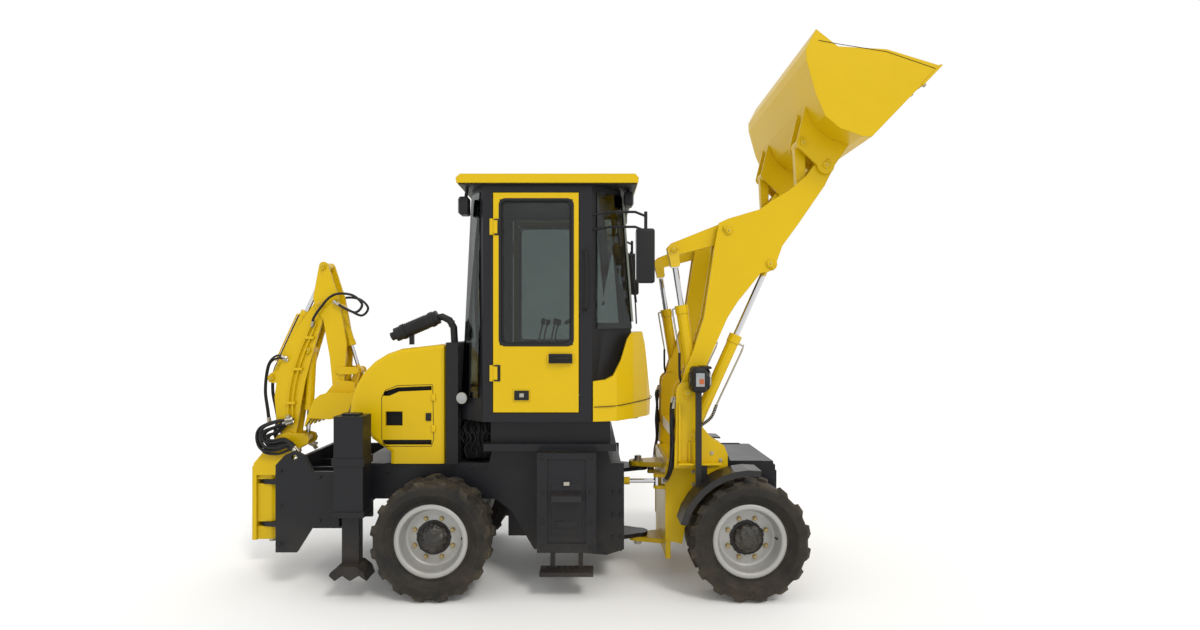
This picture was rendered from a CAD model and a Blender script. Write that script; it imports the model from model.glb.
import math

import bpy
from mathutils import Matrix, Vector, noise


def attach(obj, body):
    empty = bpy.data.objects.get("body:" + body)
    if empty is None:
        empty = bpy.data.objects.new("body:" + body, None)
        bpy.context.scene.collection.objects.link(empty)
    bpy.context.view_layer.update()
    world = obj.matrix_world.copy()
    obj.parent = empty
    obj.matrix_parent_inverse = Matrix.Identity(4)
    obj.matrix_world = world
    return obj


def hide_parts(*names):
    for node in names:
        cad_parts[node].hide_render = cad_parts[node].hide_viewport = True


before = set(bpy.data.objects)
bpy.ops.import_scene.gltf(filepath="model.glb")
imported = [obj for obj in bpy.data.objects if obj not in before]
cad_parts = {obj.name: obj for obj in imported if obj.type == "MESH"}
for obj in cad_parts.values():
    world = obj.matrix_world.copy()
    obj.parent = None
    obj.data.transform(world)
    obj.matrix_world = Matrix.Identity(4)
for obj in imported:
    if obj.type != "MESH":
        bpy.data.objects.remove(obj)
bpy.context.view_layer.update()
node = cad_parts

# --- Camera ---------------------------------------------------------------------------------
# The camera stands 4.4 m from the near tyres, level with the door's middle, and looks straight
# at the right side. Its small shifts bring the vanishing point where the photo has it.
bpy.ops.object.select_all(action="DESELECT")
bpy.ops.object.camera_add(location=(0.133, -5.2, 1.81), rotation=(math.radians(90), 0, 0))
camera = bpy.context.object
camera.name = "photo_camera"
camera.data.sensor_width = 36
camera.data.lens = 20.07
camera.data.shift_x = 0.0083
camera.data.shift_y = 0.0125
bpy.context.scene.camera = camera

# --- Hydraulic hoses ------------------------------------------------------------------------
# Black rubber pressure hoses, each crimped into a plated ferrule and a hex nut at both ends.
# They are held by their fittings and clamps, so each rides on the body that carries it.


AXLE_BACK = 0.925           # from the origin of the frame back to the rear axle


def machine(x, y, z):
    """A point measured from the rear axle, as on the drawings, in the frame of the model."""
    return Vector((x - AXLE_BACK, y, z))


def run(*places):
    """Several such points, in a list."""
    return [machine(*place) for place in places]


def lay(tree, kind, sockets=None, **settings):
    """Lays one shader node in a tree. A socket gets a value, or a link from another node."""
    made = tree.nodes.new("ShaderNode" + kind)
    for name, value in settings.items():
        setattr(made, name, value)
    for name, value in (sockets or {}).items():
        if isinstance(value, bpy.types.NodeSocket):
            tree.links.new(value, made.inputs[name])
        else:
            made.inputs[name].default_value = value
    return made


def effect(name, inputs, outputs):
    """An empty node group for a surface effect, with its named sockets."""
    group = bpy.data.node_groups.new(name, "ShaderNodeTree")
    for label, kind, value in inputs:
        group.interface.new_socket(label, in_out="INPUT", socket_type=kind).default_value = value
    for label, kind in outputs:
        group.interface.new_socket(label, in_out="OUTPUT", socket_type=kind)
    return group, group.nodes.new("NodeGroupInput"), group.nodes.new("NodeGroupOutput")


def speckle(tree, scale, detail=8.0, roughness=0.7):
    """Noise in a piece's own coordinates."""
    place = lay(tree, "TexCoord").outputs["Object"]
    sockets = {"Vector": place, "Scale": scale, "Detail": detail, "Roughness": roughness}
    return lay(tree, "TexNoise", sockets).outputs["Fac"]


def ramp(tree, value, low, high, start=0.0, end=1.0):
    """Runs from start to end while a value goes from low to high."""
    sockets = {"Value": value, "From Min": low, "From Max": high, "To Min": start, "To Max": end}
    return lay(tree, "MapRange", sockets).outputs["Result"]


def reckon(tree, operation, first, second=0.5, **settings):
    """One step of arithmetic on two values."""
    return lay(tree, "Math", {0: first, 1: second}, operation=operation, **settings).outputs[0]


def blend(tree, share, below, above):
    """Two colours, of which the one above shows as far as share says."""
    return lay(tree, "Mix", {0: share, 6: below, 7: above}, data_type="RGBA").outputs[2]


FLOAT, VECTOR = "NodeSocketFloat", "NodeSocketVector"

dust, given, result = effect("settled_dust", [("Reach", FLOAT, 0.9), ("Amount", FLOAT, 0.5), ("Scale", FLOAT, 5.0)],
                             [("Mask", FLOAT)])
height = lay(dust, "SeparateXYZ", {"Vector": lay(dust, "TexCoord").outputs["Object"]}).outputs["Z"]
facing = lay(dust, "SeparateXYZ", {"Vector": lay(dust, "NewGeometry").outputs["Normal"]}).outputs["Z"]
low_down = ramp(dust, height, given.outputs["Reach"], 0.0)
on_top = ramp(dust, facing, 0.3, 1.0, end=0.45)
patch = ramp(dust, speckle(dust, given.outputs["Scale"], 8.0, 0.65), 0.36, 0.68)
settled = reckon(dust, "MULTIPLY", reckon(dust, "ADD", low_down, on_top), patch)
settled = reckon(dust, "MULTIPLY", settled, given.outputs["Amount"], use_clamp=True)
dust.links.new(settled, result.inputs["Mask"])

skin, given, result = effect("surface_skin", [("Grain", FLOAT, 260.0), ("Depth", FLOAT, 0.25),
        ("Corner", FLOAT, 0.003)], [("Normal", VECTOR), ("Edge", FLOAT)])
rounded = lay(skin, "Bevel", {"Radius": given.outputs["Corner"]}, samples=4).outputs["Normal"]
grain = speckle(skin, given.outputs["Grain"], 3.0, 0.5)
rough = lay(skin, "Bump", {"Height": grain, "Strength": given.outputs["Depth"], "Distance": 0.0015,
                           "Normal": rounded})
turn = lay(skin, "VectorMath", {0: rounded, 1: lay(skin, "NewGeometry").outputs["Normal"]}, operation="DOT_PRODUCT")
skin.links.new(rough.outputs["Normal"], result.inputs["Normal"])
skin.links.new(ramp(skin, turn.outputs["Value"], 0.995, 0.86), result.inputs["Edge"])

DUST_COLOUR = (0.23, 0.17, 0.10, 1)


def finish_of(name, colour, roughness, reach, dusty, grain, depth, corner, shade=0.06, metal=0.0, coat=0.0,
              gloss=0.5, worn=(0.0, (0, 0, 0, 1))):
    """A surface with uneven colour, worn edges, settled dust and a fine skin. Returns the material."""
    material = bpy.data.materials.new(name)
    material.use_nodes = True
    tree = material.node_tree
    surface = tree.nodes["Principled BSDF"]
    film = lay(tree, "Group", {"Grain": grain, "Depth": depth, "Corner": corner}, node_tree=skin)
    dirt = lay(tree, "Group", {"Reach": reach, "Amount": dusty}, node_tree=dust).outputs["Mask"]
    broad = speckle(tree, 2.3, 5.0, 0.6)
    dark = tuple(c * (1 - shade * 3) for c in colour) + (1,)
    light = tuple(min(1, c * (1 + shade)) for c in colour) + (1,)
    scratch = ramp(tree, speckle(tree, 38.0, 8.0, 0.75), 0.46, 0.60, end=worn[0])
    rubbed = reckon(tree, "MULTIPLY", scratch, film.outputs["Edge"])
    bare = blend(tree, rubbed, blend(tree, broad, dark, light), worn[1])
    sheen = ramp(tree, broad, 0.3, 0.7, roughness * 0.85, min(1, roughness * 1.2))
    dull = lay(tree, "Mix", {0: dirt, 2: sheen, 3: 0.9}).outputs[0]
    tree.links.new(blend(tree, dirt, bare, DUST_COLOUR), surface.inputs["Base Color"])
    tree.links.new(dull, surface.inputs["Roughness"])
    tree.links.new(film.outputs["Normal"], surface.inputs["Normal"])
    surface.inputs["Metallic"].default_value = metal
    surface.inputs["Coat Weight"].default_value = coat
    surface.inputs["Coat Roughness"].default_value = 0.12
    surface.inputs["Specular IOR Level"].default_value = gloss
    return material


rubber = finish_of("hose_rubber", (0.010, 0.010, 0.011), 0.45, 0.9, 0.2, 420, 0.5, 0.001, gloss=0.3)
plated = finish_of("plated_steel", (0.44, 0.42, 0.36), 0.34, 0.9, 0.3, 300, 0.3, 0.001, metal=0.85)


def curve_through(points, step=0.012):
    """Points along one smooth curve through a route's own points."""
    route = [Vector(p) for p in points]
    ends = [route[0] * 2 - route[1]] + route + [route[-1] * 2 - route[-2]]
    line = []
    for a, b, c, d in zip(ends, ends[1:], ends[2:], ends[3:]):
        count = max(2, int((c - b).length / step))
        for k in range(count):
            t = k / count
            line.append(0.5 * ((2 * b) + (c - a) * t + (2 * a - 5 * b + 4 * c - d) * t ** 2
                               + (3 * b - a - 3 * c + d) * t ** 3))
    return line + [route[-1]]


def drawn_tube(name, line, radius, material, sides=3):
    """A tube drawn along a line, closed at both ends."""
    bpy.ops.object.select_all(action="DESELECT")
    bpy.ops.curve.primitive_bezier_curve_add()
    tube = bpy.context.object
    tube.name = name
    tube.data.splines.clear()
    spline = tube.data.splines.new("POLY")
    spline.points.add(len(line) - 1)
    for point, p in zip(spline.points, line):
        point.co = (*p, 1)
    tube.matrix_world.identity()
    tube.location = (0, 0, 0)
    tube.data.dimensions = "3D"
    tube.data.bevel_depth = radius
    tube.data.bevel_resolution = sides
    tube.data.use_fill_caps = True
    bpy.ops.object.convert(target="MESH")
    tube = bpy.context.object
    tube.data.materials.clear()
    tube.data.materials.append(material)
    bpy.ops.object.shade_smooth_by_angle(angle=math.radians(50))
    return tube


def bent_tube(name, places, radius, material, sides=3):
    """A tube along one smooth curve through points of the machine."""
    return drawn_tube(name, curve_through(run(*places)), radius, material, sides)


def joined(pieces, name):
    """Several pieces made one, at the origin."""
    bpy.ops.object.select_all(action="DESELECT")
    for piece in pieces:
        piece.select_set(True)
    bpy.context.view_layer.objects.active = pieces[0]
    if len(pieces) > 1:
        bpy.ops.object.join()
    whole = bpy.context.object
    bpy.ops.object.transform_apply(location=True, rotation=True, scale=True)
    whole.name = name
    return whole


def hose(name, body, routes, radius, material=rubber, ferrules=True):
    """A set of hoses that ride on one body, each with a ferrule and a nut at its ends."""
    parts = []
    for route in routes:
        line = curve_through(route)
        parts.append(drawn_tube(name, line, radius, material))
        if ferrules:
            for tip, inner in ((line[0], line[4]), (line[-1], line[-5])):
                along = (inner - tip).normalized()
                parts.append(drawn_tube(name, [tip, tip + along * radius * 0.3, tip + along * radius * 3.6,
                                               tip + along * radius * 3.8], radius * 1.35, plated))
                parts.append(drawn_tube(name, [tip - along * radius * 1.4, tip], radius * 1.7, plated, 1))
    piece = joined(parts, name)
    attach(piece, body)
    return piece


hoe_loop = run((-1.062, -0.084, 1.850), (-1.045, -0.112, 1.900), (-0.985, -0.120, 1.985), (-0.920, -0.118, 2.058),
               (-0.848, -0.112, 2.087), (-0.745, -0.105, 2.072), (-0.680, -0.100, 2.004), (-0.728, -0.100, 1.945),
               (-0.815, -0.104, 1.978), (-0.885, -0.098, 2.020))
far_loop = [Vector((p.x - 0.02, -p.y, p.z - 0.02)) for p in hoe_loop]
hose("hoe_top_hoses", "boom", [hoe_loop, far_loop], 0.0095)

hoe_back = []
for y, drop in ((-0.086, 0.0), (-0.062, 0.02), (0.062, 0.01), (0.086, 0.03)):
    hoe_back.append(run((-1.270, y, 1.600 - drop), (-1.330, y * 1.15, 1.615 - drop), (-1.395, y, 1.560),
                        (-1.428, y * 0.8, 1.460), (-1.436, y * 0.8, 1.330), (-1.415, y * 0.9, 1.200),
                        (-1.400, y, 1.110)))
hose("hoe_back_hoses", "boom", hoe_back, 0.008)

bundle = []
for k in range(12):
    y = (-0.104 - 0.012 * (k % 3)) * (1 if k < 8 else -1)
    lap = (k if k < 8 else (k - 8) * 2) / 8           # the loops lie inside one another
    rise = 0.115 - 0.105 * lap
    reach = 0.125 - 0.100 * lap
    mid_x, mid_z = -1.330 - 0.022 * (k % 2), 0.985 + 0.012 * (k % 3)
    bundle.append(run((mid_x + 0.105, y * 0.80, 1.105 + 0.012 * (k % 4)), (mid_x + 0.03, y, mid_z + rise + 0.02),
                      (mid_x - reach * 0.75, y * 1.15, mid_z + rise * 0.75), (mid_x - reach, y * 1.2, mid_z),
                      (mid_x - reach * 0.7, y * 1.2, mid_z - rise * 0.85), (mid_x + 0.02, y * 1.15, mid_z - rise),
                      (mid_x + 0.120, y * 1.25, mid_z - rise * 0.7), (-1.145, y * 1.35, 0.900 - 0.01 * (k % 4))))
hose("hoe_foot_hoses", "swing_post", bundle, 0.0105)

frame_hoses = []
for k in range(10):
    s = -1 if k < 6 else 1
    y, x = s * (0.512 + 0.013 * (k % 3)), 1.654 - 0.006 * (k % 4)
    sway = 0.006 * math.sin(k * 2.1)
    frame_hoses.append(run((x, y, 1.330 - 0.02 * (k % 3)), (x - 0.012 - sway, y, 1.270), (x - 0.014 + sway, y, 1.170),
                           (x - 0.012 - sway, y, 1.050), (x - 0.016 + sway, y, 0.900), (x - 0.030, y * 0.95, 0.800),
                           (x - 0.045, y * 0.78, 0.735)))
hose("tower_hoses", "front_frame", frame_hoses, 0.0075)

service = []
for k in range(14):
    x, y = 0.150 + 0.0135 * k, -0.375 - 0.012 * (k % 3)
    bow = 0.022 * math.cos(k * 1.7)
    service.append(run((x, y + 0.03, 0.885), (x + bow, y, 0.960), (x + 0.01 - bow, y - 0.02, 1.040),
                       (x + bow, y - 0.015, 1.110), (x - bow * 0.5, y + 0.02, 1.165)))
hose("service_hoses", "rear_frame", service, 0.0070, ferrules=False)

# --- Floor and light ------------------------------------------------------------------------
# A plain pale studio floor under one broad soft sun from the camera's upper left and a bright,
# even surround.
bpy.ops.object.select_all(action="DESELECT")
bpy.ops.mesh.primitive_plane_add(size=160, location=(0, 0, 0))
floor = bpy.context.object
floor.name = "studio_floor"
pale = bpy.data.materials.new("pale_floor")
pale.use_nodes = True
pale.node_tree.nodes["Principled BSDF"].inputs["Base Color"].default_value = (0.90, 0.90, 0.89, 1)
pale.node_tree.nodes["Principled BSDF"].inputs["Roughness"].default_value = 0.85
floor.data.materials.append(pale)
world = bpy.data.worlds.new("studio")
world.use_nodes = True
world.node_tree.nodes["Background"].inputs["Color"].default_value = (1.0, 1.0, 1.0, 1)
world.node_tree.nodes["Background"].inputs["Strength"].default_value = 1.0
bpy.context.scene.world = world
bpy.ops.object.light_add(type="SUN", location=(2, -6, 8), rotation=(math.radians(42), math.radians(12),
        math.radians(18)))
sun = bpy.context.object
sun.name = "soft_sun"
sun.data.energy = 1.1
sun.data.angle = math.radians(14)
sun.data.color = (1.0, 0.965, 0.90)
bpy.context.scene.view_settings.view_transform = "Standard"

# --- Rear frame -----------------------------------------------------------------------------
# Welded plate in satin black: rails, decks, step boxes and the frame of the digging arm. Road
# dust lies low down on it, and its edges are rubbed.
frame_black = finish_of("frame_black_paint", (0.0095, 0.0100, 0.0125), 0.38, 0.55, 0.20, 320, 0.4, 0.004, gloss=0.28,
                        worn=(0.35, (0.09, 0.085, 0.08, 1)))
cast = finish_of("cast_iron", (0.016, 0.015, 0.014), 0.62, 0.9, 0.45, 180, 0.9, 0.006, metal=0.2, gloss=0.3)


def dress(names, material):
    """Gives CAD nodes their finish."""
    for name in names:
        node[name].data.materials.clear()
        node[name].data.materials.append(material)


def plate(name, low, high, edge, material, segments=2):
    """A plate or block cut to its corners, with broken edges."""
    bpy.ops.object.select_all(action="DESELECT")
    low, high = Vector(low), Vector(high)
    bpy.ops.mesh.primitive_cube_add(size=1, location=(low + high) / 2)
    piece = bpy.context.object
    piece.scale = high - low
    bpy.ops.object.transform_apply(location=True, rotation=True, scale=True)
    bevel = piece.modifiers.new("edges", "BEVEL")
    bevel.width = edge
    bevel.segments = segments
    bpy.ops.object.modifier_apply(modifier="edges")
    piece.data.materials.append(material)
    piece.name = name
    bpy.ops.object.shade_smooth_by_angle(angle=math.radians(40))
    return piece


def sided(name, s, x, y, z, edge, material, segments=2):
    """A plate on side s of the machine. x, y and z each say where it begins and ends."""
    near, far = sorted((s * y[0], s * y[1]))
    return plate(name, machine(x[0], near, z[0]), machine(x[1], far, z[1]), edge, material, segments)


def fixed(piece, body):
    """Gives a finished piece its slot and the body that carries it."""
    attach(piece, body)
    return piece


def hex_bolt(across, material):
    """One bolt head on its washer, standing on the origin and pointing up."""
    bpy.ops.object.select_all(action="DESELECT")
    bpy.ops.mesh.primitive_cylinder_add(vertices=16, radius=across * 0.72, depth=across * 0.16,
                                        location=(0, 0, across * 0.08))
    washer = bpy.context.object
    bpy.ops.mesh.primitive_cylinder_add(vertices=6, radius=across * 0.56, depth=across * 0.55,
                                        location=(0, 0, across * 0.40))
    head = bpy.context.object
    bevel = head.modifiers.new("edges", "BEVEL")
    bevel.width = across * 0.06
    bpy.ops.object.modifier_apply(modifier="edges")
    bolt = joined([washer, head], "bolt")
    bolt.data.materials.clear()
    bolt.data.materials.append(material)
    return bolt


def bolted(name, body, across, material, places):
    """Bolt heads at their places, each pointing along its own direction, as one piece."""
    bolt = hex_bolt(across, material)
    copies = []
    for spot, facing in places:
        copy = bolt.copy()
        copy.data = bolt.data.copy()
        bpy.context.scene.collection.objects.link(copy)
        copy.rotation_mode = "QUATERNION"
        copy.rotation_quaternion = Vector((0, 0, 1)).rotation_difference(Vector(facing))
        copy.location = spot
        copies.append(copy)
    bpy.data.objects.remove(bolt)
    return fixed(joined(copies, name), body)


dress(["rear_chassis", "stabilizer_right", "stabilizer_left"], frame_black)
dress(["rear_axle", "front_axle", "engine_block"], cast)

OUT = {"right": (0, -1, 0), "left": (0, 1, 0)}
SIGN = {"right": -1, "left": 1}
spots = []
for side, s in SIGN.items():
    for x in (0.735, 1.065):
        for z in (0.35, 0.52, 0.72, 0.955):
            spots.append((machine(x, s * 0.700, z), OUT[side]))
    for x, z in ((-1.070, 0.84), (-1.070, 0.60), (-1.070, 0.34), (-0.80, 0.80), (-0.80, 0.50), (-0.665, 0.62)):
        spots.append((machine(x, s * 0.600, z), OUT[side]))
    for x in (-0.555, -0.40, 0.20, 0.30):
        spots.append((machine(x + 0.015, s * 0.440, 0.80 if x < 0 else 0.83), OUT[side]))
    for x in (1.225, 1.275):
        for z in (0.34, 0.50, 0.66):
            spots.append((machine(x, s * 0.440, z), OUT[side]))
bolted("frame_bolts", "rear_frame", 0.019, frame_black, spots)

treads = []
for s in (-1, 1):
    for k in range(9):
        x = 0.745 + k * 0.038
        treads.append(sided("tread", s, (x, x + 0.010), (0.615, 0.740), (0.1895, 0.1965), 0.002, frame_black))
    treads.append(sided("lid", s, (0.795, 1.005), (0.6865, 0.692), (0.42, 0.77), 0.003, frame_black))
    for z in (0.475, 0.665):
        treads.append(sided("rib", s, (0.825, 0.975), (0.690, 0.699), (z, z + 0.045), 0.004, frame_black))
    treads.append(sided("lid_catch", s, (0.880, 0.920), (0.690, 0.716), (0.765, 0.790), 0.003, plated))
fixed(joined(treads, "step_treads_and_lids"), "rear_frame")

# --- Engine hood ----------------------------------------------------------------------------
# A pressed and rolled steel hood in gloss yellow, with a service panel each side. Its slots
# and its square port are backed by black mesh and louvres.
PAINT = (0.640, 0.425, 0.0015)
RUBBED = (0.33, 0.22, 0.02, 1)              # paint worn thin at an edge
yellow = finish_of("machine_yellow", PAINT, 0.32, 0.45, 0.10, 240, 0.12, 0.005, shade=0.03, coat=0.04,
                   gloss=0.22, worn=(0.18, RUBBED))
dress(["hood", "door_right", "door_left", "cab_roof", "front_cowl", "loader_arms",
       "tilt_crank_right", "tilt_crank_left", "tilt_link_right", "tilt_link_left", "tilt_barrel_right",
       "tilt_barrel_left", "lift_barrel_right", "lift_barrel_left", "swing_post", "boom", "dipper",
       "bucket_rocker", "bucket_link", "boom_barrel", "dipper_barrel", "bucket_barrel", "steer_barrel_right",
       "steer_barrel_left"], yellow)
plastic = finish_of("black_plastic", (0.0085, 0.0085, 0.0090), 0.46, 0.4, 0.1, 520, 0.6, 0.002, gloss=0.3)

BACKED = ((1.336, 1.425, -0.415, -0.052), (1.128, 1.243, -0.395, -0.255), (0.992, 1.043, -0.415, -0.050))
hood_parts = []
for s in (-1, 1):
    for k in range(7):                      # louvres behind the slots, clear of the hood's wall
        for x0, x1, z0, rise in ((-0.395, -0.075, 1.345, 0.011), (-0.380, -0.270, 1.140, 0.0135)):
            z = z0 + k * rise
            hood_parts.append(sided("louvre", s, (x0 + (0.06 if z > 1.38 else 0), x1), (0.440, 0.455),
                                    (z, z + rise * 0.55), 0.001, plastic, 1))
    for z0, z1, x0, x1 in BACKED:
        hood_parts.append(sided("grille_back", s, (x0, x1), (0.425, 0.435), (z0, z1), 0.002, plastic, 1))
fixed(joined(hood_parts, "hood_louvres"), "rear_frame")


def groove(name, outline, y, width, material):
    """A thin closed line that lies in a panel's face, for a seam or a rubber edge."""
    corners = [machine(x, y, z) for x, z in outline]
    line = []
    for a, b in zip(corners, corners[1:] + corners[:1]):
        line += [a.lerp(b, t) for t in (0.02, 0.5, 0.98)]
    return drawn_tube(name, line + [line[0]], width, material, 1)


seam_dark = finish_of("seam_shadow", (0.030, 0.020, 0.004), 0.8, 0.5, 0.2, 300, 0.2, 0.001)
seams = []
for s in (-1, 1):
    seams.append(groove("seam", [(-0.412, 1.045), (-0.412, 1.335), (-0.385, 1.385), (-0.300, 1.418), (-0.052, 1.425),
                                 (-0.045, 1.040), (-0.06, 0.990), (-0.39, 0.990)], s * 0.4800, 0.0022, seam_dark))
fixed(joined(seams, "hood_panel_seams"), "rear_frame")
latches = []
for s in (-1, 1):
    latches.append(sided("latch", s, (-0.100, -0.062), (0.478, 0.490), (1.170, 1.225), 0.004, plastic))
    for z in (1.09, 1.31):
        latches.append(sided("hinge", s, (-0.062, -0.030), (0.478, 0.490), (z, z + 0.05), 0.004, yellow))
fixed(joined(latches, "hood_latches"), "rear_frame")

# --- Air column and intake filter -----------------------------------------------------------
# A black pressed column behind the cab carries the intake, a moulded drum with ribs and two
# black straps on a rubber elbow. Between it and the cab stands an oil tank, which is a guess.
dress(["air_column"], plastic)
tank = plate("hydraulic_tank", machine(0.150, -0.355, 0.872), machine(0.345, 0.355, 1.172), 0.020, frame_black, 4)
fixed(tank, "rear_frame")
intake = []
axis_a, axis_b = machine(-0.333, -0.40, 1.775), machine(-0.030, -0.40, 1.905)
for k in range(9):
    mid = axis_a.lerp(axis_b, 0.26 + k * 0.055)
    along = (axis_b - axis_a).normalized() * 0.004
    intake.append(drawn_tube("rib", [mid - along, mid + along], 0.0525, plastic, 4))
for share in (0.20, 0.84):
    mid = axis_a.lerp(axis_b, share)
    along = (axis_b - axis_a).normalized() * 0.009
    intake.append(drawn_tube("strap", [mid - along, mid + along], 0.0560, plastic, 4))
forward = (axis_a - axis_b).normalized()
intake.append(drawn_tube("dust_nose", [axis_a, axis_a + forward * 0.010, axis_a + forward * 0.035], 0.030, rubber, 4))
for spot in ((-0.06, 1.892), (0.066, 1.855)):
    mid = machine(spot[0], -0.40, spot[1])
    intake.append(drawn_tube("clip", [mid - Vector((0.008, 0, -0.004)), mid + Vector((0.008, 0, -0.004))], 0.0295,
                             plastic, 4))
fixed(joined(intake, "intake_filter_ribs"), "rear_frame")

# --- Cab ------------------------------------------------------------------------------------
# A black welded cab with a yellow roof and doors, tinted glass in rubber, a plastic roof
# lining and work lamps. The doors are hinged at the back.
dress(["cab_frame"], frame_black)
dress(["cab_interior"], plastic)
smoked = bpy.data.materials.new("tinted_glass")
smoked.use_nodes = True
pane = smoked.node_tree.nodes["Principled BSDF"]
haze = speckle(smoked.node_tree, 3.0, 6.0, 0.6)
tint = blend(smoked.node_tree, haze, (0.20, 0.245, 0.235, 1), (0.27, 0.315, 0.30, 1))
film = ramp(smoked.node_tree, haze, 0.35, 0.75, 0.01, 0.05)
smoked.node_tree.links.new(tint, pane.inputs["Base Color"])
smoked.node_tree.links.new(film, pane.inputs["Roughness"])
pane.inputs["Transmission Weight"].default_value = 1.0
pane.inputs["IOR"].default_value = 1.45
dress(["door_glass_right", "door_glass_left", "windscreen", "rear_window"], smoked)


def rubber_frame(x0, x1, z0, z1, y, width, thick, material):
    """A flat rubber frame round a window, standing across the machine at y."""
    bpy.ops.object.select_all(action="DESELECT")
    bpy.ops.mesh.primitive_plane_add(size=1)
    ring = bpy.context.object
    ring.scale = (x1 - x0, z1 - z0, 1)
    bpy.ops.object.transform_apply(location=True, rotation=True, scale=True)
    bpy.ops.object.mode_set(mode="EDIT")
    bpy.ops.mesh.select_all(action="SELECT")
    bpy.ops.mesh.bevel(offset=0.045, segments=4, affect="VERTICES")
    bpy.ops.mesh.select_all(action="SELECT")
    bpy.ops.mesh.inset(thickness=width)
    bpy.ops.mesh.delete(type="FACE")
    bpy.ops.object.mode_set(mode="OBJECT")
    wall = ring.modifiers.new("wall", "SOLIDIFY")
    wall.thickness = thick
    wall.offset = 0
    edges = ring.modifiers.new("edges", "BEVEL")
    edges.width = thick * 0.3
    edges.segments = 2
    for step in ("wall", "edges"):
        bpy.ops.object.modifier_apply(modifier=step)
    ring.rotation_euler = (math.radians(90), 0, 0)
    ring.location = machine((x0 + x1) / 2, y, (z0 + z1) / 2)
    bpy.ops.object.transform_apply(location=True, rotation=True, scale=True)
    ring.data.materials.append(material)
    return ring


for side, s in SIGN.items():
    seal = rubber_frame(0.432, 0.948, 1.697, 2.713, s * 0.6185, 0.020, 0.014, rubber)
    inner = rubber_frame(0.452, 0.928, 1.717, 2.693, s * 0.6105, 0.012, 0.005, plastic)
    fixed(joined([seal, inner], "door_seal_" + side), "door_" + side)
    grip = [sided("cup", s, (0.775, 0.938), (0.636, 0.648), (1.582, 1.648), 0.008, plastic, 4)]
    bar_y = s * 0.668
    grip.append(bent_tube("bar", [(0.790, s * 0.645, 1.612), (0.800, bar_y, 1.614), (0.860, bar_y, 1.617),
                                  (0.905, bar_y, 1.615), (0.918, s * 0.645, 1.612)], 0.009, plastic))
    grip.append(sided("lock_plate", s, (0.540, 0.640), (0.625, 0.634), (1.330, 1.396), 0.004, plastic, 3))
    grip.append(sided("lock_key", s, (0.575, 0.607), (0.631, 0.640), (1.350, 1.378), 0.004, plated, 3))
    fixed(joined(grip, "door_handle_" + side), "door_" + side)
    straps = []
    for z in (1.455, 2.455):
        straps.append(sided("hinge_strap", s, (0.404, 0.444), (0.6215, 0.628), (z + 0.004, z + 0.116), 0.002, plastic,
                            2))
    fixed(joined(straps, "door_hinge_straps_" + side), "door_" + side)

seat_fabric = finish_of("seat_fabric", (0.022, 0.022, 0.025), 0.82, 0.1, 0.1, 900, 1.0, 0.001, shade=0.1)


def cushion(name, low, high, lean):
    """A stuffed form with crowned faces and drawn-in sides, blown up as cloth over its foam."""
    low, high = Vector(low), Vector(high)
    bpy.ops.object.select_all(action="DESELECT")
    bpy.ops.mesh.primitive_cube_add(size=1, location=(low + high) / 2)
    pad = bpy.context.object
    pad.name = name
    pad.scale = (high - low) * 0.93
    bpy.ops.object.transform_apply(location=True, rotation=True, scale=True)
    edges = pad.modifiers.new("edges", "BEVEL")
    edges.width = 0.024
    edges.segments = 3
    bpy.ops.object.modifier_apply(modifier="edges")
    even = pad.modifiers.new("even", "REMESH")
    even.mode = "VOXEL"
    even.voxel_size = 0.008
    bpy.ops.object.modifier_apply(modifier="even")
    before = [v.co.copy() for v in pad.data.vertices]
    cloth = pad.modifiers.new("stuffing", "CLOTH")
    cloth.settings.use_pressure = True
    cloth.settings.uniform_pressure_force = 4
    cloth.settings.effector_weights.gravity = 0
    cloth.settings.quality = 5
    for step in range(1, 21):
        bpy.context.scene.frame_set(step)
    bpy.ops.object.modifier_apply(modifier="stuffing")
    bpy.context.scene.frame_set(1)
    for vertex, start in zip(pad.data.vertices, before):
        move = vertex.co - start
        if move.length > 0.012:
            vertex.co = start + move.normalized() * 0.012
    for vertex in pad.data.vertices:        # sewn channels, and the lean of the back
        across = (vertex.co.y - low.y) / (high.y - low.y)
        channel = min(abs(across - 0.2), abs(across - 0.8))
        if channel < 0.03:
            vertex.co = vertex.co.lerp((low + high) / 2, 0.06 * (1 - channel / 0.03))
        vertex.co.x -= (vertex.co.z - low.z) * lean
        vertex.co.x = max(vertex.co.x, machine(0.285, 0, 0).x)
    soft = pad.modifiers.new("soft", "SUBSURF")
    soft.levels = soft.render_levels = 1
    bpy.ops.object.modifier_apply(modifier="soft")
    pad.data.materials.append(seat_fabric)
    bpy.ops.object.shade_smooth()
    return fixed(pad, "rear_frame")


seat_cushion = cushion("seat_cushion", machine(0.330, -0.225, 1.566), machine(0.775, 0.225, 1.660), 0.0)
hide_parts("seat")
cushion("seat_back", machine(0.318, -0.215, 1.672), machine(0.412, 0.215, 2.150), 0.055)

controls = []
for y in (-0.27, 0.27):
    controls.append(plate("console", machine(0.62, y - 0.05, 1.56), machine(0.84, y + 0.05, 1.70), 0.012, plastic, 3))
    for x in (0.68, 0.77):
        controls.append(bent_tube("lever", [(x, y, 1.69), (x + 0.01, y, 1.78), (x + 0.03, y, 1.86)],
                                   0.006, plated))
        controls.append(drawn_tube("knob", run((x + 0.030, y, 1.850), (x + 0.034, y, 1.870), (x + 0.040, y, 1.895)),
                                   0.017, plastic, 3))
    controls.append(plate("console_stand", machine(0.64, y - 0.04, 1.216), machine(0.80, y + 0.04, 1.57), 0.008,
                          plastic))
fixed(joined(controls, "cab_controls"), "rear_frame")

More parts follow.
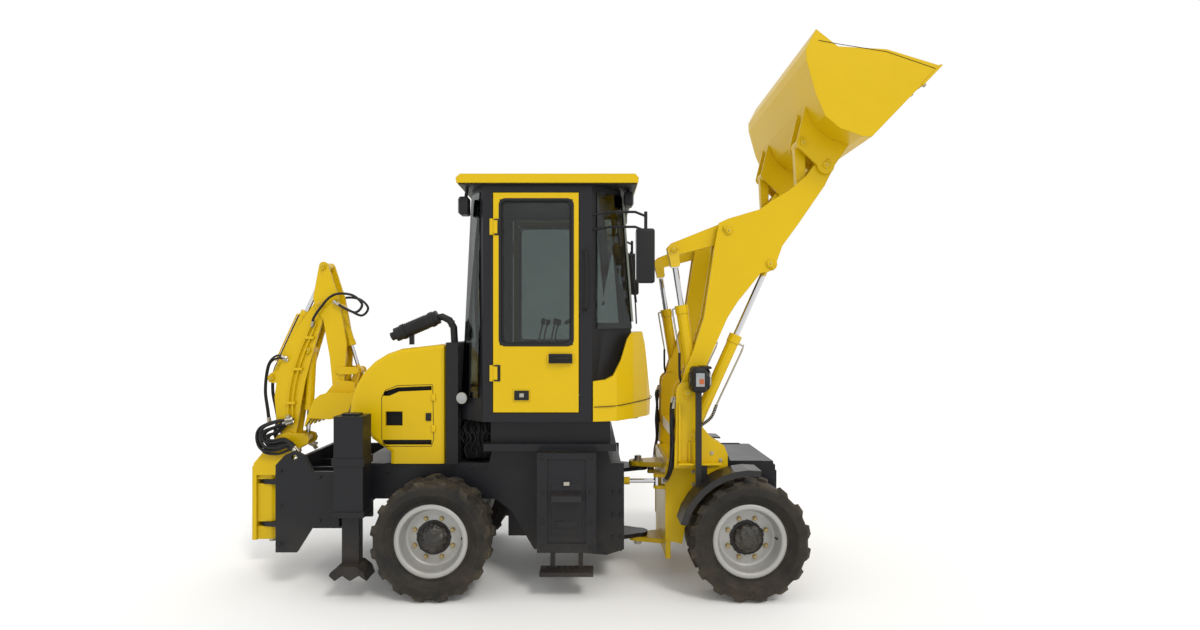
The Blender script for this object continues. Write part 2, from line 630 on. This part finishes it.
lens = bpy.data.materials.new("lamp_lens")
lens.use_nodes = True
clear = lens.node_tree.nodes["Principled BSDF"]
flutes = lay(lens.node_tree, "TexWave", {"Vector": lay(lens.node_tree, "TexCoord").outputs["Object"], "Scale": 45.0})
pressed = lay(lens.node_tree, "Bump", {"Height": flutes.outputs["Fac"], "Strength": 0.5, "Distance": 0.002})
lens.node_tree.links.new(pressed.outputs["Normal"], clear.inputs["Normal"])
clear.inputs["Base Color"].default_value = (0.34, 0.36, 0.36, 1)
clear.inputs["Roughness"].default_value = 0.10
clear.inputs["Metallic"].default_value = 0.75
amber = finish_of("amber_lens", (0.42, 0.085, 0.008), 0.15, 0.3, 0.1, 500, 0.3, 0.001, coat=0.6)


def round_lamp(name, centre, facing, radius, body, tinted=None):
    """A round lamp: a bezel, a dished reflector and a fluted lens."""
    facing = Vector(facing).normalized()
    centre = Vector(centre)
    shell = drawn_tube("shell", [centre, centre + facing * radius * 0.25], radius, plastic, 6)
    ring = drawn_tube("bezel", [centre + facing * radius * 0.22, centre + facing * radius * 0.34], radius * 0.95,
                      plated, 6)
    glass = drawn_tube("glass", [centre + facing * radius * 0.30, centre + facing * radius * 0.38,
                                 centre + facing * radius * 0.42], radius * 0.80, tinted or lens, 6)
    return fixed(joined([shell, ring, glass], name), body)


round_lamp("column_lamp", machine(0.165, -0.520, 1.335), (-0.25, -1, 0), 0.042, "rear_frame")
lamp_arm = bent_tube("arm", [(0.130, -0.49, 1.30), (0.150, -0.505, 1.31), (0.165, -0.518, 1.325)], 0.008, plastic)
fixed(joined([lamp_arm], "column_lamp_arm"), "rear_frame")

work_lamps = []
for s in (-1, 1):
    work_lamps.append(sided("body", s, (0.150, 0.215), (0.47, 0.58), (2.610, 2.735), 0.012, plastic, 3))
    work_lamps.append(sided("glass", s, (0.142, 0.152), (0.482, 0.568), (2.622, 2.723), 0.004, lens, 2))
    work_lamps.append(drawn_tube("stem", run((0.190, s * 0.525, 2.73), (0.195, s * 0.525, 2.77),
            (0.200, s * 0.525, 2.812)), 0.012, plastic))
    work_lamps.append(sided("front_body", s, (1.300, 1.362), (0.36, 0.48), (2.690, 2.790), 0.012, plastic, 3))
    work_lamps.append(sided("front_glass", s, (1.360, 1.368), (0.372, 0.468), (2.702, 2.778), 0.003, lens, 2))
    work_lamps.append(drawn_tube("front_stem", run((1.33, s * 0.42, 2.785), (1.33, s * 0.42, 2.80),
            (1.33, s * 0.42, 2.812)), 0.012, plastic))
fixed(joined(work_lamps, "cab_work_lamps"), "rear_frame")

mirrors = []
silvered = finish_of("mirror_face", (0.75, 0.77, 0.78), 0.04, 0.1, 0.05, 10, 0.02, 0.0005, metal=1.0)
for s in (-1, 1):
    mirrors.append(sided("glass", s, (1.360, 1.3655), (0.724, 0.748), (2.145, 2.465), 0.001, silvered, 1))
    mirrors.append(sided("hood", s, (1.374, 1.490), (0.712, 0.758), (2.122, 2.488), 0.018, plastic, 4))
fixed(joined(mirrors, "mirror_shells"), "rear_frame")

lining = [plate("lining", machine(0.160, -0.648, 2.802), machine(1.378, 0.648, 2.8102), 0.003, plastic)]
for s in (-1, 1):
    lining.append(sided("rail", s, (1.020, 1.060), (0.600, 0.616), (1.86, 2.66), 0.005, plastic))
grab_line = run((1.02, -0.632, 1.95), (1.03, -0.665, 1.97), (1.035, -0.672, 2.15), (1.03, -0.665, 2.33),
                (1.02, -0.632, 2.35))
for s in (-1, 1):
    mirrored = [Vector((p.x, p.y * -s, p.z)) for p in grab_line]
    lining.append(drawn_tube("grab", curve_through(mirrored), 0.010, plastic))
fixed(joined(lining, "cab_trim"), "rear_frame")

edge_strip = finish_of("pale_glass_edge", (0.20, 0.22, 0.18), 0.5, 0.3, 0.5, 200, 0.3, 0.001)
strips = [bent_tube("strip", [(1.360, s * 0.427, 1.87), (1.330, s * 0.427, 2.25), (1.295, s * 0.427, 2.71)],
                     0.008, edge_strip) for s in (-1, 1)]
fixed(joined(strips, "windscreen_edge_strips"), "rear_frame")

wiper = [bent_tube("arm", [(1.418, 0.05, 1.86), (1.412, 0.12, 2.05), (1.392, 0.20, 2.25)], 0.006, plastic),
         drawn_tube("blade", run((1.422, 0.10, 2.03), (1.404, 0.19, 2.24), (1.383, 0.28, 2.45)), 0.005, rubber)]
for part in wiper:
    part.location.x += 0.004
fixed(joined(wiper, "windscreen_wiper"), "rear_frame")

# --- Nose cowl ------------------------------------------------------------------------------
# A moulded yellow nose below the windscreen, in two mouldings that meet in a fine seam.
nose_seam = []
for s in (-1, 1):
    seam_line = curve_through(run((1.085, s * 0.6305, 1.283), (1.235, s * 0.6160, 1.290), (1.360, s * 0.4965, 1.300),
                                  (1.470, s * 0.3510, 1.308), (1.5165, s * 0.225, 1.312), (1.5020, 0, 1.315)), 0.05)
    nose_seam.append(drawn_tube("seam", seam_line, 0.0030, seam_dark, 1))
fixed(joined(nose_seam, "cowl_seam"), "rear_frame")

# --- Front frame ----------------------------------------------------------------------------
# The yellow front frame with its towers, pins with keeper plates and the hinge pins. Its deck is
# black ahead of the towers, and the black fenders carry the headlamps on their stalks.
deck_paint = finish_of("front_frame_paint", PAINT, 0.32, 0.45, 0.12, 240, 0.12, 0.005, shade=0.03,
                       coat=0.04, gloss=0.22, worn=(0.18, RUBBED))


def recolour(tree, share, colour):
    """Lays another colour over a surface's own, as far as share says."""
    base = tree.nodes["Principled BSDF"].inputs["Base Color"]
    tree.links.new(blend(tree, share, base.links[0].from_socket, colour), base)


DECK_START = machine(2.010, 0, 0).x
tree = deck_paint.node_tree
ahead = lay(tree, "SeparateXYZ", {"Vector": lay(tree, "TexCoord").outputs["Object"]}).outputs["X"]
recolour(tree, reckon(tree, "GREATER_THAN", ahead, DECK_START), (0.0095, 0.0100, 0.0125, 1))
dress(["front_chassis"], deck_paint)
fender_black = finish_of("fender_black", (0.0090, 0.0090, 0.0095), 0.30, 0.9, 0.15, 300, 0.4, 0.005, gloss=0.4)
dress(["fender_right", "fender_left"], fender_black)


def pins(name, body, material, rows):
    """Pin ends on both sides, each with a keeper plate and its bolt. A row says where the pin is, its
    radius and the keeper's turn in degrees."""
    parts = []
    for s, (x, y, z, radius, turn) in [(s, row) for s in (-1, 1) for row in rows]:
        out = Vector((0, s, 0))
        spot = machine(x, s * y, z)
        arm = Vector((math.cos(math.radians(turn)), 0, math.sin(math.radians(turn))))
        parts.append(drawn_tube("pin", [spot, spot + out * 0.006, spot + out * 0.009], radius, material, 4))
        parts.append(drawn_tube("nipple", [spot + out * 0.008, spot + out * 0.014, spot + out * 0.020], 0.0045,
                                plated, 2))
        flat = plate("keeper", spot + Vector((-0.014, -0.0025, -0.014)), spot + Vector((radius * 1.9, 0.0025, 0.014)),
                     0.002, material)
        flat.data.transform(flat.matrix_world)
        for vertex in flat.data.vertices:
            away = vertex.co - spot
            vertex.co = spot + Vector((away.x * arm.x - away.z * arm.z, away.y,
                                       away.x * arm.z + away.z * arm.x)) + out * 0.0045
        parts.append(flat)
        head = hex_bolt(0.014, material)
        head.rotation_mode = "QUATERNION"
        head.rotation_quaternion = Vector((0, 0, 1)).rotation_difference(out)
        head.location = spot + arm * radius * 1.5 + out * 0.006
        parts.append(head)
    return fixed(joined(parts, name), body)


pins("tower_pins", "front_frame", yellow, [(1.730, 0.590, 1.380, 0.024, -90),
        (1.780, 0.588, 1.090, 0.021, -90)])

tower_steel = []
for s in (-1, 1):
    for x, z0, z1 in ((1.668, 0.90, 1.30), (1.735, 0.90, 1.04)):
        tower_steel.append(sided("rib", s, (x, x + 0.014), (0.573, 0.600), (z0, z1), 0.003, yellow))
    tower_steel.append(sided("shelf", s, (1.660, 1.960), (0.560, 0.640), (0.885, 0.897), 0.003, yellow))
spots = []
for side, s in SIGN.items():
    for x, z in ((1.80, 1.00), (1.90, 0.96), (1.96, 0.91)):
        spots.append((machine(x, s * 0.575, z), OUT[side]))
    for x in (1.80, 2.24):
        for z in (0.70, 0.79):
            spots.append((machine(x, s * 0.385, z), OUT[side]))
fixed(joined(tower_steel, "tower_ribs"), "front_frame")
bolted("tower_bolts", "front_frame", 0.018, plated, spots)
spots = [(machine(1.430, 0, 0.800), (0, 0, 1)), (machine(1.430, 0, 0.190), (0, 0, -1))]
bolted("hinge_pin_heads", "front_frame", 0.055, plated, spots)

for side, s in SIGN.items():
    housing = []
    housing.append(sided("shell", s, (1.742, 1.842), (0.572, 0.742), (1.388, 1.562), 0.026, plastic, 4))
    housing.append(sided("peak", s, (1.800, 1.872), (0.582, 0.732), (1.548, 1.566), 0.006, plastic, 3))
    housing.append(sided("side_lens", s, (1.764, 1.822), (0.7405, 0.7455), (1.432, 1.522), 0.002, lens, 3))
    housing.append(sided("side_marker", s, (1.786, 1.818), (0.7445, 0.7485), (1.448, 1.484), 0.0015, amber, 3))
    fixed(joined(housing, "headlamp_shell_" + side), "front_frame")
    round_lamp("headlamp_" + side, machine(1.842, s * 0.657, 1.475), (1, 0, 0), 0.072, "front_frame")

# --- Wheels ---------------------------------------------------------------------------------
# Lugged tyres on silver pressed rims. Each hub has eight nuts round a lump of caked grease
# and earth, and a valve stands at the rim.
AXLE_Z = 0.405
RIM_MIDDLE = 0.65
NUT_CIRCLE = 0.139


def axis_distance(tree, x, z):
    """The distance from an axis across the machine, for a pattern that lies round it."""
    centred = lay(tree, "Mapping", {"Vector": lay(tree, "TexCoord").outputs["Object"], "Location": (-x, 0, -z),
                                    "Scale": (1, 0, 1)})
    return lay(tree, "VectorMath", {0: centred.outputs["Vector"]}, operation="LENGTH").outputs["Value"]


RIM_LINE = [(0.0, 0.062), (0.060, 0.060), (0.080, 0.052), (0.088, 0.040), (0.090, 0.020), (0.105, 0.016),
            (0.165, 0.016), (0.176, 0.012), (0.186, 0.014), (0.194, 0.024), (0.205, 0.090), (0.211, 0.108),
            (0.217, 0.114), (0.226, 0.1155), (0.238, 0.1150), (0.245, 0.1115), (0.247, 0.1080), (0.244, 0.1055),
            (0.225, 0.1050), (0.225, -0.1050), (0.244, -0.1055), (0.247, -0.1120), (0.238, -0.1150), (0.212, -0.1150),
            (0.205, -0.090), (0.191, -0.010), (0.110, -0.019), (0.0, -0.019)]


def turned(name, profile, place, out, material):
    """A body turned about the machine's cross axis. Its outer side faces out."""
    bpy.ops.object.select_all(action="DESELECT")
    bpy.ops.curve.primitive_bezier_curve_add()
    body = bpy.context.object
    body.data.splines.clear()
    body.data.dimensions = "3D"
    spline = body.data.splines.new("POLY")
    spline.points.add(len(profile) - 1)
    for point, (radius, across) in zip(spline.points, profile):
        point.co = (radius, across, 0, 1)
    bpy.ops.object.convert(target="MESH")
    body = bpy.context.object
    lathe = body.modifiers.new("lathe", "SCREW")
    lathe.axis = "Y"
    lathe.steps = lathe.render_steps = 72
    lathe.use_merge_vertices = True
    lathe.merge_threshold = 0.0001
    bpy.ops.object.modifier_apply(modifier="lathe")
    body.rotation_euler = (0, 0, 0 if out > 0 else math.pi)
    body.location = place
    bpy.ops.object.transform_apply(location=True, rotation=True, scale=True)
    bpy.ops.object.mode_set(mode="EDIT")
    bpy.ops.mesh.select_all(action="SELECT")
    bpy.ops.mesh.normals_make_consistent(inside=False)
    bpy.ops.object.mode_set(mode="OBJECT")
    body.data.materials.clear()
    body.data.materials.append(material)
    bpy.ops.object.shade_smooth_by_angle(angle=math.radians(42))
    body.name = name
    return body


grease = finish_of("caked_grease", (0.012, 0.011, 0.010), 0.42, 0.8, 0.22, 90, 1.0, 0.002, gloss=0.6)
brass = finish_of("nut_brass", (0.36, 0.28, 0.13), 0.38, 0.8, 0.3, 300, 0.3, 0.001, metal=0.7)
for word, x in (("rear", -AXLE_BACK), ("front", 1.195)):
    tread = finish_of("tyre_rubber_" + word, (0.0125, 0.012, 0.011), 0.72, 1.2, 0.16, 190, 0.8, 0.004, gloss=0.3)
    tree = tread.node_tree
    surface = tree.nodes["Principled BSDF"]
    away = axis_distance(tree, x, AXLE_Z)
    on_tread = ramp(tree, away, 0.352, 0.400)
    caked = ramp(tree, speckle(tree, 11.0), 0.40, 0.62, end=0.85)
    recolour(tree, reckon(tree, "MULTIPLY", on_tread, caked), (0.085, 0.068, 0.045, 1))
    rings = reckon(tree, "SINE", reckon(tree, "MULTIPLY", away, 420.0))
    ridge = reckon(tree, "MULTIPLY", rings, ramp(tree, away, 0.335, 0.300))
    ridges = lay(tree, "Bump", {"Height": ridge, "Strength": 0.35, "Distance": 0.002,
                                "Normal": surface.inputs["Normal"].links[0].from_socket})
    tree.links.new(ridges.outputs["Normal"], surface.inputs["Normal"])
    silver = finish_of("rim_silver_" + word, (0.40, 0.40, 0.385), 0.42, 0.8, 0.30, 260, 0.3, 0.003, metal=0.35)
    tree = silver.node_tree
    reach = ramp(tree, speckle(tree, 24.0), 0.35, 0.65, 0.112, 0.124)
    greased = reckon(tree, "LESS_THAN", axis_distance(tree, x, AXLE_Z), reach)
    recolour(tree, greased, (0.014, 0.0125, 0.011, 1))
    for side, s in SIGN.items():
        dress(["tyre_%s_%s" % (word, side)], tread)
        rim = turned("smooth_rim_%s_%s" % (word, side), RIM_LINE, Vector((x, s * RIM_MIDDLE, AXLE_Z)), s, silver)
        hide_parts("rim_%s_%s" % (word, side))
        fixed(rim, "wheel_%s_%s" % (word, side))
        spots = []
        for k in range(8):
            a = math.radians(22.5 + 45 * k)
            spots.append((Vector((x + NUT_CIRCLE * math.cos(a), s * (RIM_MIDDLE + 0.0165),
                                  AXLE_Z + NUT_CIRCLE * math.sin(a))), OUT[side]))
        bolted("wheel_nuts_%s_%s" % (word, side), "wheel_%s_%s" % (word, side), 0.024, brass, spots)
        out = Vector((0, s, 0))
        mid = Vector((x, s * 0.690, AXLE_Z))
        bpy.ops.object.select_all(action="DESELECT")
        bpy.ops.mesh.primitive_ico_sphere_add(subdivisions=5, radius=1, location=(0, 0, 0))
        lump = bpy.context.object
        for vertex in lump.data.vertices:       # grease and earth caked over the hub
            spot = vertex.co.copy()
            grown = 1 + 0.16 * noise.fractal(spot * 2.2 + mid * 5, 0.7, 2.0, 5)
            vertex.co = mid + Vector((spot.x * 0.092, spot.y * 0.050, spot.z * 0.092)) * grown
        lump.data.materials.append(grease)
        bpy.ops.object.shade_smooth()
        stem = Vector((x + 0.190, s * 0.672, AXLE_Z))
        valve = drawn_tube("valve", [stem, stem + out * 0.020, stem + out * 0.038 + Vector((0.006, 0, 0))], 0.0045,
                           rubber)
        fixed(joined([lump, valve], "hub_cap_%s_%s" % (word, side)), "wheel_%s_%s" % (word, side))

# --- Loader arms, linkage and cylinders -----------------------------------------------------
# Paired plate arms with their pins and keepers, and chromed rods with painted eyes in yellow
# barrels. Steel pipes lie along the barrels, and springs guard the hoses at their feet.
chrome = finish_of("hard_chrome", (0.62, 0.62, 0.64), 0.09, 0.5, 0.12, 400, 0.05, 0.001, shade=0.02, metal=1.0)
dress(["steer_rod_right", "steer_rod_left"], chrome)
for names, x, z, reach in ((["tilt_rod_right", "tilt_rod_left"], 1.640, 2.375, 0.125),
                           (["lift_rod_right", "lift_rod_left"], 2.310, 2.270, 0.085),
                           (["boom_rod"], -1.135, 0.970, 0.045), (["dipper_rod"], -0.983, 2.300, 0.045),
                           (["bucket_rod"], -0.735, 1.500, 0.045)):
    rod_paint = finish_of(names[0] + "_chrome", (0.62, 0.62, 0.64), 0.09, 0.5, 0.12, 400, 0.05, 0.001, shade=0.02)
    tree = rod_paint.node_tree
    surface = tree.nodes["Principled BSDF"]
    away = axis_distance(tree, x - AXLE_BACK, z)
    bare_rod = reckon(tree, "GREATER_THAN", away, reach)
    painted = blend(tree, bare_rod, (*PAINT, 1), surface.inputs["Base Color"].links[0].from_socket)
    matt = lay(tree, "Mix", {0: bare_rod, 2: 0.34, 3: surface.inputs["Roughness"].links[0].from_socket})
    tree.links.new(painted, surface.inputs["Base Color"])
    tree.links.new(matt.outputs[0], surface.inputs["Roughness"])
    tree.links.new(bare_rod, surface.inputs["Metallic"])
    dress(names, rod_paint)

pins("arm_pins", "loader_arms", yellow, [(2.020, 0.5540, 2.500, 0.022, 150),
        (2.310, 0.5540, 2.270, 0.024, -60), (1.775, 0.5540, 1.500, 0.020, 60)])
pins("bucket_pins", "loader_bucket", yellow, [(2.690, 0.5750, 2.950, 0.022, 60),
        (2.530, 0.5750, 3.104, 0.020, 100)])
pins("crank_pins", "tilt_cranks", yellow, [(1.640, 0.5300, 2.375, 0.018, 10)])


def beside(base, tip, way, places):
    """Points beside a cylinder. Each place says how far along it, how far out on one way, and how far sideways."""
    along = (tip - base).normalized()
    across = Vector((-along.z, 0, along.x)) * way
    return [base + along * far + across * off + Vector((0, y, 0)) for far, off, y in places]


pipes, guards = [], []
for s in (-1, 1):
    y = s * 0.535
    base, tip = machine(1.780, y, 1.090), machine(2.310, y, 2.270)
    pipe_line = beside(base, tip, -1, [(0.700, 0.038, s * -0.05), (0.700, 0.070, s * -0.05),
                                       (0.670, 0.082, s * -0.05), (0.330, 0.075, s * -0.04),
                                       (0.24, 0.072, s * -0.03)])
    pipes.append(drawn_tube("pipe", curve_through(pipe_line), 0.0075, plated))
    guard_line = beside(base, tip, -1, [(0.245, 0.072, s * -0.03), (0.15, 0.066, 0), (0.05, 0.02, s * -0.02),
                                        (0, -0.02, 0)])
    guard_line[-1] += Vector((-0.03, 0, -0.06))
    guard_line = curve_through(guard_line)
    guards.append(drawn_tube("hose", guard_line, 0.010, rubber))
    coil = []
    guarded = guard_line[:int(len(guard_line) * 0.8)]
    for k, point in enumerate(guarded[:-1]):
        step = guarded[k + 1] - point
        side_way = step.cross(Vector((0, 1, 0))).normalized()
        other = step.cross(side_way).normalized()
        for q in range(6):
            a = 2 * math.pi * q / 6
            coil.append(point + step * (q / 6) + (side_way * math.cos(a) + other * math.sin(a)) * 0.0125)
    guards.append(drawn_tube("spring", coil, 0.0022, plated, 1))
fixed(joined(pipes, "lift_cylinder_pipes"), "lift_barrels")
fixed(joined(guards, "lift_hose_guards"), "lift_barrels")

tilt_lines = []
for s in (-1, 1):
    y = s * 0.48
    base, tip = machine(1.775, y, 1.500), machine(1.640, y, 2.375)
    pipe_line = beside(base, tip, 1, [(0.47, 0.040, 0), (0.47, 0.062, 0), (0.42, 0.066, 0), (0.16, 0.062, 0)])
    tilt_lines.append(drawn_tube("pipe", curve_through(pipe_line), 0.0065, plated))
    hose_line = beside(base, tip, 1, [(0.16, 0.062, 0), (0.08, 0.075, 0), (-0.02, 0.085, 0), (-0.11, 0.060, 0)])
    tilt_lines.append(drawn_tube("hose", curve_through(hose_line), 0.009, rubber))
fixed(joined(tilt_lines, "tilt_cylinder_lines"), "tilt_barrels")

# --- Shovel ---------------------------------------------------------------------------------
# A welded shovel with a bolted cutting edge, weld beads round its side plates, and a floor
# that earth has polished and stained.
shovel = finish_of("shovel_yellow", PAINT, 0.36, 0.0, 0.15, 200, 0.2, 0.005, shade=0.04, coat=0.04,
                   gloss=0.22, worn=(0.4, (0.20, 0.14, 0.05, 1)))
dress(["loader_bucket", "hoe_bucket"], shovel)
rim_line = [(2.545, 3.790), (2.478, 3.660), (2.480, 3.590), (2.540, 3.370), (2.605, 3.220), (2.700, 3.140),
            (2.850, 3.085), (2.915, 3.084)]
welds = []
for s in (-1, 1):
    welds.append(drawn_tube("side_seam", run((2.560, s * 0.8005, 3.715), (2.700, s * 0.8005, 3.690),
            (3.010, s * 0.8005, 3.640), (3.330, s * 0.8005, 3.530)), 0.0022, seam_dark, 1))
    inner = [machine(x + 0.018, s * 0.782, z + 0.012) for x, z in rim_line[1:-1]]
    welds.append(drawn_tube("weld", curve_through(inner, 0.02), 0.006, shovel, 2))
spots = []
for k in range(9):
    y = -0.72 + 0.18 * k
    spots.append((machine(3.292, y, 3.452), Vector((0.70, 0, -0.72)).normalized()))
fixed(joined(welds, "shovel_seams"), "loader_bucket")
bolted("cutting_edge_bolts", "loader_bucket", 0.022, plated, spots)

# --- Digging arm ----------------------------------------------------------------------------
# The curved boom with two painted pressure pipes in clamps along its side, pins with keepers,
# and the small bucket with its bolted teeth.
pipe_run = [(-1.266, 1.120), (-1.262, 1.283), (-1.235, 1.450), (-1.190, 1.600), (-1.128, 1.760), (-1.085, 1.862)]
boom_pipes = []
for s in (-1, 1):
    for shift in (0.010, 0.046):
        line = curve_through([machine(x + shift, s * 0.0745, z) for x, z in pipe_run])
        boom_pipes.append(drawn_tube("pipe", line, 0.0075, yellow))
        boom_pipes.append(bent_tube("foot", [(-1.266 + shift, s * 0.0745, 1.122), (-1.270 + shift, s * 0.080, 1.105),
                (-1.276 + shift, s * 0.088, 1.088)], 0.0085, rubber))
    for x, z in ((-1.250, 1.240), (-1.196, 1.500), (-1.108, 1.740)):
        boom_pipes.append(sided("clamp", s, (x - 0.020, x + 0.052), (0.0655, 0.086), (z, z + 0.022), 0.004, yellow))
fixed(joined(boom_pipes, "boom_pipes"), "boom")
pins("dipper_pins", "dipper", yellow, [(-1.004, 0.0855, 2.017, 0.018, -60),
        (-0.983, 0.0855, 2.300, 0.014, -90), (-0.870, 0.0775, 1.400, 0.016, 90)])
pins("boom_pins", "boom", yellow, [(-1.385, 0.0655, 1.440, 0.014, 80),
        (-1.100, 0.0645, 1.660, 0.016, -100)])
pins("swing_post_pins", "swing_post", yellow, [(-1.250, 0.0845, 0.975, 0.020, 180)])
bolted("swing_pin_heads", "swing_post", 0.045, plated, [(machine(-1.410, 0, 0.768), (0, 0, 1)),
        (machine(-1.410, 0, 0.205), (0, 0, -1))])

cylinder_pipes = []
base, tip = machine(-1.385, 0, 1.440), machine(-0.983, 0, 2.300)
for y in (-0.018, 0.018):
    pipe_line = beside(base, tip, 1, [(0.52, 0.034, y), (0.52, 0.048, y), (0.48, 0.050, y), (0.12, 0.048, y)])
    cylinder_pipes.append(drawn_tube("pipe", curve_through(pipe_line), 0.006, yellow if y < 0 else rubber))
fixed(joined(cylinder_pipes, "dipper_cylinder_pipes"), "dipper_barrel")
